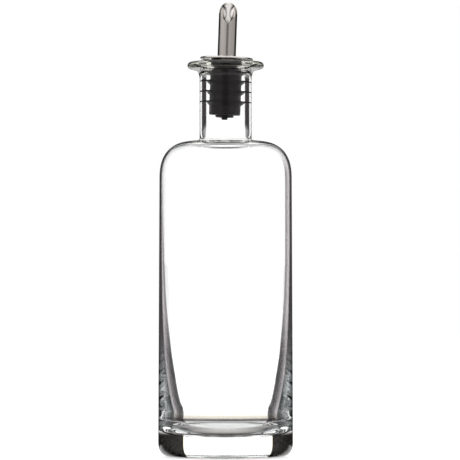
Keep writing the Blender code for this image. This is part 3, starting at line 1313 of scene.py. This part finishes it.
@dataclass
class SpoutTube:
    """The steel pouring tube: waisted at the disc, with a slanted mouth and a vent behind."""

    pourer: Pourer
    mouth_slope: float = math.radians(52.5)
    mouth_edge: float = 0.0001
    mouth_thinning: float = 0.0104
    vent_radius: float = 0.0009
    vent_height: float = 0.223106
    facets: int = 96
    rings: int = 24
    vent_sides: int = 24
    finish: PolishedSteel = PolishedSteel("spout steel")
    inside: PaintedShadeSteel = PaintedShadeSteel("spout steel inside")

    def wall_at(self, height: float) -> float:
        """The wall's thickness, which is ground thin towards the tip.

        Args:
            height: Height above the bottle's foot.

        Returns:
            The thickness.
        """
        below = self.pourer.tube_top - height
        share = min(max(1 - below / self.mouth_thinning, 0.0), 1.0)
        return self.pourer.tube_wall + (self.mouth_edge - self.pourer.tube_wall) * share

    def outline(self) -> Outline:
        """The tube's section, outside upwards and inside downwards.

        Returns:
            The points as (radius, height) pairs.
        """
        p = self.pourer
        low, high = p.disc_underside - p.fit, p.disc_top + p.fit
        outside: Outline = [
            (p.tube_radius, p.tube_foot),
            (p.tube_radius, low - p.waist_ease),
            (p.waist_radius, low),
            (p.waist_radius, high),
            (p.tube_radius, high + p.waist_ease),
        ]
        top_run = p.tube_top + p.tube_radius - outside[-1][1]
        for ring in range(1, self.rings + 1):
            outside.append((p.tube_radius, high + p.waist_ease + top_run * ring / self.rings))
        inside = [(radius - self.wall_at(height), height) for radius, height in outside[::-1]]
        return outside + inside

    def above_mouth(self, point: Vector) -> bool:
        """Say whether a point is cut away: above a slant behind, and above a V in front.

        Args:
            point: A point of the upright tube.

        Returns:
            True where the tube is cut away.
        """
        rise = math.tan(self.mouth_slope)
        middle = self.pourer.tube_top - self.pourer.tube_radius * rise
        if point.y > 0:
            return point.z > middle + point.y * rise
        return point.z > middle - (self.pourer.tube_radius - abs(point.x)) * rise

    def cut_mouth(self, shape: bmesh.types.BMesh) -> None:
        """Cut the tube's top with a slant behind and two in front that meet in a V.

        Args:
            shape: The upright tube.
        """
        slope = self.mouth_slope
        reach = self.pourer.tube_radius * math.tan(slope)
        middle = self.pourer.tube_top - reach
        up, across = math.cos(slope), math.sin(slope)
        cuts = [
            (0.0, (1.0, 0.0, 0.0)),
            (0.0, (0.0, 1.0, 0.0)),
            (middle, (0.0, -across, up)),
            (middle - reach, (across, 0.0, up)),
            (middle - reach, (-across, 0.0, up)),
        ]
        for height, normal in cuts:
            bmesh.ops.bisect_plane(
                shape,
                geom=list(shape.verts) + list(shape.edges) + list(shape.faces),
                dist=MERGE_DISTANCE,
                plane_co=Vector((0.0, 0.0, height)),
                plane_no=Vector(normal),
            )
        waste = [face for face in shape.faces if self.above_mouth(face.calc_center_median())]
        bmesh.ops.delete(shape, geom=waste, context="FACES")
        rim = [edge for edge in shape.edges if edge.is_boundary]
        bmesh.ops.bridge_loops(shape, edges=rim)

    def drill_vent(self, piece: bpy.types.Object) -> None:
        """Drill the small hole in the back that lets air into the air tube.

        Args:
            piece: The leaned tube.
        """
        drill = bmesh.new()
        radius = self.pourer.tube_radius
        bmesh.ops.create_cone(
            drill,
            cap_ends=True,
            segments=self.vent_sides,
            radius1=self.vent_radius,
            radius2=self.vent_radius,
            depth=radius,
        )
        upright(drill)
        bmesh.ops.translate(drill, verts=drill.verts, vec=(0.0, radius, self.vent_height))
        cutter = finished("vent_drill", self.pourer.lean_over(drill))
        cut = piece.modifiers.new("vent", "BOOLEAN")
        cut.object = cutter
        cut.solver = "EXACT"
        drilled = piece.evaluated_get(bpy.context.evaluated_depsgraph_get())
        mesh = bpy.data.meshes.new_from_object(drilled)
        piece.modifiers.clear()
        piece.data = mesh
        bpy.data.objects.remove(cutter)

    def build(self) -> bpy.types.Object:
        """Turn, cut, lean, drill and dress the tube.

        Returns:
            The finished piece.
        """
        shape = turned(self.outline(), self.facets)
        self.cut_mouth(shape)
        bmesh.ops.recalc_face_normals(shape, faces=shape.faces)
        for face in shape.faces:
            centre = face.calc_center_median()
            skin = self.pourer.tube_radius - self.wall_at(centre.z) / 2
            hollow = centre.z > self.pourer.disc_top + self.pourer.waist_ease
            face.material_index = int(hollow and math.hypot(centre.x, centre.y) < skin)
        piece = finished("pouring_tube", self.pourer.lean_over(shape), self.finish, self.inside)
        self.drill_vent(piece)
        settle(piece, Body.SPOUT, ["spout_tube"])
        return piece


@dataclass
class AirTube:
    """The thin tube that lets air in past the oil."""

    pourer: Pourer
    radius: float = 0.0017
    wall: float = 0.0004
    offset: float = 0.0017
    foot: float = 0.185106
    head: float = 0.224306
    facets: int = 48
    finish: PolishedSteel = PolishedSteel("air tube steel")

    def build(self) -> bpy.types.Object:
        """Turn, shift, lean and dress the tube.

        Returns:
            The finished piece.
        """
        bore = self.radius - self.wall
        outline = [(self.radius, self.foot), (self.radius, self.head), (bore, self.head), (bore, self.foot)]
        shape = turned(outline, self.facets)
        bmesh.ops.translate(shape, verts=shape.verts, vec=(0.0, self.offset, 0.0))
        piece = finished("breather_tube", self.pourer.lean_over(shape), self.finish)
        settle(piece, Body.SPOUT, ["air_tube"])
        return piece


# The studio


@dataclass(frozen=True)
class Paths:
    """Masks for the kinds of ray that meet the sky, the table or the panel."""

    camera: Socket
    clear: Socket
    bent: Socket
    deep: Socket
    late: Socket
    mirrored: Socket
    soft: Socket

    @classmethod
    def read(cls, graph: Graph) -> "Paths":
        """Tell the kinds of ray apart.

        Args:
            graph: The graph of the sky, the table or the panel.

        Returns:
            Masks for rays straight from the camera, rays through clear glass, rays turned inside
            glass, those turned there more than once, those turned between many crossings, mirrored
            rays and rays of soft light.
        """
        path = graph.add("ShaderNodeLightPath").outputs
        through = path["Is Transmission Ray"]
        turned_once = graph.calc("GREATER_THAN", path["Glossy Depth"], ONCE)
        few = graph.calc("LESS_THAN", path["Transmission Depth"], FEW_CROSSINGS)
        soft = graph.calc("GREATER_THAN", path["Diffuse Depth"], ONCE)
        inside = graph.times(through, turned_once)
        bent = graph.times(inside, few)
        late = graph.calc("SUBTRACT", inside, bent)
        clear = graph.calc("SUBTRACT", graph.calc("SUBTRACT", through, bent), late)
        deep = graph.times(bent, graph.calc("GREATER_THAN", path["Glossy Depth"], TWICE))
        mirrored = graph.times(turned_once, graph.invert(through))
        return cls(path["Is Camera Ray"], clear, bent, deep, late, mirrored, soft)


@dataclass(frozen=True)
class Ray:
    """Where a ray meets the sky, with its turn from straight behind as a share of a half turn."""

    graph: Graph
    place: Socket
    turn: Socket
    rise: Socket
    fall: Socket

    @classmethod
    def read(cls, graph: Graph) -> "Ray":
        """Read the ray's direction in the sky's graph.

        Args:
            graph: The sky's graph.

        Returns:
            The ray.
        """
        place = graph.add("ShaderNodeTexCoord").outputs["Generated"]
        x, y, z = graph.split(place)
        turn = graph.calc("ABSOLUTE", graph.calc("ARCTAN2", x, y))
        return cls(graph, place, graph.calc("DIVIDE", turn, math.pi), z, graph.times(z, -1.0))

    def level(self, stops: Stops) -> Socket:
        """Look a level up by the angle from straight behind, in degrees."""
        return self.graph.levels(self.turn, [(angle / HALF_TURN, level) for angle, level in stops])


@dataclass(frozen=True)
class Lamp:
    """A square soft lamp that looks at the middle of the bottle."""

    name: str
    place: Triple
    watts: float
    side: float = 1.0
    target: Triple = (0.0, 0.0, 0.12)

    def build(self) -> None:
        """Hang the lamp, which lights the scene but is not seen."""
        light = bpy.data.lights.new(self.name, "AREA")
        light.shape = "SQUARE"
        light.size = self.side
        light.energy = self.watts
        lamp = linked(self.name, light)
        look_at(lamp, self.place, self.target)
        hide_from(lamp, "camera", "transmission", "glossy")


@dataclass
class Studio:
    """White table and surroundings, dark flags for the glass's edges, soft lamps."""

    table_drop: float = 0.0003
    table_reach: float = 30.0
    table_glow: float = 0.52
    table_through: float = 0.66
    through_glass: float = 1.40
    turns: int = 40
    ambient: float = 0.62
    panel_half: float = 0.0462
    panel_behind: float = 0.128
    panel_height: float = 0.40
    level_stops: Stops = (
        (0.0, 0.10), (24.0, 0.09), (32.0, 0.05), (48.0, 0.045), (70.0, 0.06), (96.0, 0.04),
        (180.0, 0.05),
    )
    downward_stops: Stops = (
        (0.0, 0.34), (12.0, 0.42), (19.0, 0.56), (25.0, 0.52), (31.0, 0.34), (38.0, 0.18), (48.0, 0.10),
        (180.0, 0.10),
    )
    upward_stops: Stops = (
        (0.0, 0.95), (5.0, 0.90), (11.0, 0.12), (30.0, 0.10), (60.0, 0.50), (180.0, 0.60),
    )
    downward: Pair = (0.12, 0.34)
    under: Pair = (0.30, 0.38)
    under_behind: Pair = (0.10, 0.05)
    right_under: Pair = (0.52, 0.62)
    under_stops: Stops = (
        (0.40, 0.04), (0.52, 0.06), (0.70, 0.30), (0.85, 0.43), (0.95, 0.55), (1.0, 0.64),
    )
    upward: Pair = (0.08, 0.22)
    deep_stops: Stops = (
        (0.0, 0.10), (55.0, 0.05), (80.0, 0.10), (104.0, 0.19), (114.0, 0.38), (180.0, 0.42),
    )
    deep_low_stops: Stops = (
        (0.0, 0.40), (40.0, 0.80), (50.0, 1.0), (78.0, 1.0), (95.0, 0.06), (180.0, 0.02),
    )
    deep_fall: Pair = (0.18, 0.34)
    ring_rise: Pair = (0.22, 0.27)
    ring_stops: Stops = ((56.0, 0.02), (110.0, 0.08), (132.0, 0.30), (144.0, 1.0))
    ring_power: float = 1.6
    lamp_stops: Stops = (
        (0.30, 1.0), (0.42, 0.70), (0.47, 0.50), (0.52, 0.56), (0.57, 1.0), (0.61, 1.0), (0.67, 0.20),
        (0.72, 0.03),
    )
    lamp_power: float = 1.3
    lamp_side: Pair = (0.16, 0.37)
    mottle_scale: float = 5.0
    mottle_octaves: float = 4.0
    mottle_rough: float = 0.65
    mottle_stops: Stops = ((0.36, 0.20), (0.50, 0.60), (0.64, 1.0))
    mirrored_stops: Stops = (
        (0.0, 0.015), (62.0, 0.015), (84.0, 0.30), (104.0, 0.37), (120.0, 0.38), (163.0, 0.38),
        (170.0, 0.14), (180.0, 0.14),
    )
    overhead: Pair = (0.115, 0.150)
    table_below: Quad = (0.06, 0.12, 0.35, 0.60)
    late_white: float = 1.25
    late_side: Triple = (0.46, 0.40, 0.43)
    late_turn: Pair = (0.36, 0.55)
    late_stops: Stops = (
        (0.0, 0.08), (0.20, 0.10), (0.25, 1.0), (0.525, 0.92), (0.55, 0.78), (0.60, 0.53), (0.665, 0.50),
        (0.72, 0.04),
    )
    ring_turn: Pair = (0.30, 0.34)
    lamp_widening: Pair = (0.40, 0.46)
    lamp_rise: Pair = (0.22, 0.30)
    lamp_soft: float = 0.04
    beside_turn: Quad = (0.08, 0.14, 0.42, 0.50)
    beside_rise: Pair = (0.50, 0.56)
    table_turn: Pair = (0.26, 0.16)
    table_white: float = 0.90
    overhead_turn: Pair = (0.36, 0.42)
    ceiling: Pair = (0.60, 0.80)
    ceiling_white: float = 1.05
    table_grain: float = 300.0
    table_roughness: float = 0.9
    table_stops: Stops = ((0.3, 0.80), (0.7, 0.82))
    panel_sink: float = 0.05
    streaks: Triple = (1.0, 1.0, 3.0)
    bent_colour: Triple = (0.92, 1.0, 1.02)
    level_colour: Triple = (1.04, 0.93, 0.99)
    mirrored_colour: Triple = (1.0, 0.97, 0.95)
    lamps: tuple[Lamp, ...] = (
        Lamp("key", (-0.9, -1.1, 1.5), 8.0),
        Lamp("fill", (1.1, -0.5, 1.2), 4.0),
        Lamp("back", (0.2, 1.2, 1.4), 4.0),
    )

    def mottle(self, ray: Ray) -> Socket:
        """Break the light up into level streaks, as a busy room does.

        Args:
            ray: Where the ray meets the sky.

        Returns:
            The strength of the light.
        """
        flat = ray.graph.scaled(ray.place, self.streaks)
        noise = ray.graph.noise(flat, self.mottle_scale, self.mottle_octaves, self.mottle_rough)
        return ray.graph.levels(noise, self.mottle_stops)

    def streaky(self, ray: Ray, stops: Stops) -> Socket:
        """Look a level up by the angle from straight behind, streaked and in the bent light's colour."""
        return ray.graph.tint(ray.graph.tint(ray.level(stops), self.mottle(ray)), self.bent_colour)

    def bent_light(self, ray: Ray) -> Socket:
        """Dark flags with a few bright gaps, which rays see that were turned inside the glass.

        Args:
            ray: Where the ray meets the sky.

        Returns:
            The colour.
        """
        graph, fall = ray.graph, ray.fall
        light = graph.tint(ray.level(self.level_stops), self.level_colour)
        light = graph.blend(graph.span(fall, *self.downward), light, self.streaky(ray, self.downward_stops))
        under = graph.tint(graph.levels(fall, self.under_stops), self.mirrored_colour)
        behind = graph.times(graph.span(fall, *self.under), graph.span(ray.turn, *self.under_behind))
        light = graph.blend(graph.most(behind, graph.span(fall, *self.right_under)), light, under)
        return graph.blend(graph.span(ray.rise, *self.upward), light, ray.level(self.upward_stops))

    def deep_light(self, ray: Ray) -> Socket:
        """What rays see that were turned more than once.

        Args:
            ray: Where the ray meets the sky.

        Returns:
            The colour.
        """
        graph, turn, rise = ray.graph, ray.turn, ray.rise
        low = ray.level(self.deep_low_stops)
        light = graph.blend(graph.span(ray.fall, *self.deep_fall), self.streaky(ray, self.deep_stops), low)
        ring = graph.tint(ray.level(self.ring_stops), (self.ring_power,) * 3)
        above = graph.times(graph.span(rise, *self.ring_rise), graph.span(turn, *self.ring_turn))
        light = graph.blend(above, light, ring)
        side = graph.along(graph.span(rise, *self.lamp_widening), *self.lamp_side)
        ends = [graph.calc(way, side, self.lamp_soft) for way in ("ADD", "SUBTRACT")]
        lamp = graph.times(graph.span(rise, *self.lamp_rise), graph.span(turn, *ends))
        lit = graph.tint(graph.levels(rise, self.lamp_stops), (self.lamp_power,) * 3)
        light = graph.blend(lamp, light, lit)
        beside = graph.times(graph.between(turn, *self.beside_turn), graph.span(rise, *self.beside_rise))
        return graph.blend(beside, light, (self.lamp_power,) * 3)

    def late_light(self, ray: Ray) -> Socket:
        """What rays see that crossed the glass many times: white behind, grey at the sides.

        Args:
            ray: Where the ray meets the sky.

        Returns:
            The colour.
        """
        graph = ray.graph
        light = graph.blend(graph.span(ray.turn, *self.late_turn), (self.late_white,) * 3, self.late_side)
        up = graph.levels(graph.calc("MULTIPLY_ADD", ray.rise, 0.5, 0.5), self.late_stops)
        return graph.tint(light, up)

    def mirrored_light(self, ray: Ray) -> Socket:
        """What polished steel and the skin of the glass mirror: grey sides and a white ceiling.

        Args:
            ray: Where the ray meets the sky.

        Returns:
            The colour.
        """
        graph, turn, rise = ray.graph, ray.turn, ray.rise
        light = graph.tint(ray.level(self.mirrored_stops), self.mirrored_colour)
        table = graph.times(graph.between(ray.fall, *self.table_below), graph.span(turn, *self.table_turn))
        light = graph.blend(table, light, (self.table_white,) * 3)
        front = graph.times(graph.span(rise, *self.overhead), graph.span(turn, *self.overhead_turn))
        ceiling = graph.most(front, graph.span(rise, *self.ceiling))
        return graph.blend(ceiling, light, (self.ceiling_white,) * 3)

    def sky(self) -> None:
        """Surround the object with white, and with flags that only the glass and steel see."""
        world = bpy.data.worlds.new("studio")
        world.use_nodes = True
        bpy.context.scene.world = world
        graph = Graph(world.node_tree)
        ray, paths = Ray.read(graph), Paths.read(graph)
        ambient = (self.ambient,) * 3
        colour: Any = ambient
        for mask, light in (
            (paths.mirrored, self.mirrored_light(ray)),
            (paths.bent, self.bent_light(ray)),
            (paths.deep, self.deep_light(ray)),
            (paths.late, self.late_light(ray)),
            (paths.clear, (self.through_glass,) * 3),
            (paths.camera, WHITE),
            (paths.soft, ambient),
        ):
            colour = graph.blend(mask, colour, light)
        graph.feed(world.node_tree.nodes["Background"].inputs["Color"], colour)

    def sheet(self, name: str, size: Pair, place: Triple, stand: bool = False) -> bpy.types.Object:
        """Lay a flat sheet.

        Args:
            name: The object's name.
            size: Its width and length.
            place: Its middle.
            stand: Stand it up, facing the camera.

        Returns:
            The sheet.
        """
        shape = bmesh.new()
        bmesh.ops.create_grid(shape, x_segments=1, y_segments=1, size=0.5)
        bmesh.ops.scale(shape, verts=shape.verts, vec=(*size, 1.0))
        if stand:
            upright(shape)
        bmesh.ops.translate(shape, verts=shape.verts, vec=place)
        return finished(name, shape)

    def table(self) -> None:
        """Lay the white table, which keeps a soft shadow under the object."""
        side = 2 * self.table_reach
        table = self.sheet("table", (side, side), (0.0, 0.0, -self.table_drop))
        made, graph, shader = new_material("white table")
        paths = Paths.read(graph)
        through = graph.times(paths.clear, self.table_through / self.table_glow)
        seen = graph.times(graph.most(paths.camera, through), graph.invert(paths.soft), self.table_glow)
        grain = graph.noise(graph.object_place(), self.table_grain)
        graph.fill(shader, {
            "Base Color": graph.levels(grain, self.table_stops),
            "Roughness": self.table_roughness,
            "Specular IOR Level": 0.0,
            "Emission Color": (*WHITE, 1.0),
            "Emission Strength": seen,
        })
        graph.let_through(graph.most(paths.bent, paths.late, paths.mirrored), shader)
        table.data.materials.append(made)

    def panel(self) -> None:
        """Stand a narrow white panel behind the glass, seen only through glass."""
        middle = (0.0, self.panel_behind, self.panel_height / 2 - self.panel_sink)
        panel = self.sheet("back_panel", (2 * self.panel_half, self.panel_height), middle, stand=True)
        made, graph, shader = new_material("white panel")
        paths = Paths.read(graph)
        graph.fill(shader, {
            "Base Color": (0.0, 0.0, 0.0, 1.0),
            "Specular IOR Level": 0.0,
            "Emission Color": (*WHITE, 1.0),
            "Emission Strength": self.through_glass,
        })
        graph.let_through(graph.most(paths.deep, paths.late), shader)
        panel.data.materials.append(made)
        hide_from(panel, "camera", "diffuse", "glossy", "shadow")

    def allow_turns(self) -> None:
        """Let light turn often enough inside the thick foot to find its way out."""
        limits = bpy.context.scene.cycles
        limits.max_bounces = limits.glossy_bounces = limits.transmission_bounces = self.turns

    def build(self) -> None:
        """Set up everything but the camera."""
        self.sky()
        self.table()
        self.panel()
        self.allow_turns()
        for lamp in self.lamps:
            lamp.build()
        bpy.context.scene.view_settings.view_transform = "Standard"
        LOG.info("studio ready")


@dataclass
class PhotoCamera:
    """The photograph's camera: far off, a little above the base's level, tilted up."""

    distance: float = 1.95
    eye_height: float = 0.0720
    aim_height: float = 0.1246
    side_step: float = 0.00242
    sensor: float = 36.0
    view_width: float = 0.2530
    clip: Pair = (0.05, 100.0)

    def build(self) -> bpy.types.Object:
        """Make the camera and hand it to the scene.

        Returns:
            The camera.
        """
        data = bpy.data.cameras.new("photo camera")
        data.sensor_width = self.sensor
        data.lens = self.sensor * self.distance / self.view_width
        data.clip_start, data.clip_end = self.clip
        camera = linked("photo camera", data)
        place = (self.side_step, -self.distance, self.eye_height)
        look_at(camera, place, (self.side_step, 0.0, self.aim_height))
        bpy.context.scene.camera = camera
        LOG.info("camera: %.1f mm lens for %d pixels", data.lens, PHOTO_SIDE)
        return camera


def main() -> None:
    """Build the object, the studio and the camera."""
    PhotoCamera().build()
    Studio().build()
    GlassBottle().build()
    pourer = Pourer()
    for part in (RubberStopper(pourer), CollarDisc(pourer), SpoutTube(pourer), AirTube(pourer)):
        part.build()


if __name__ == "__main__":
    main()
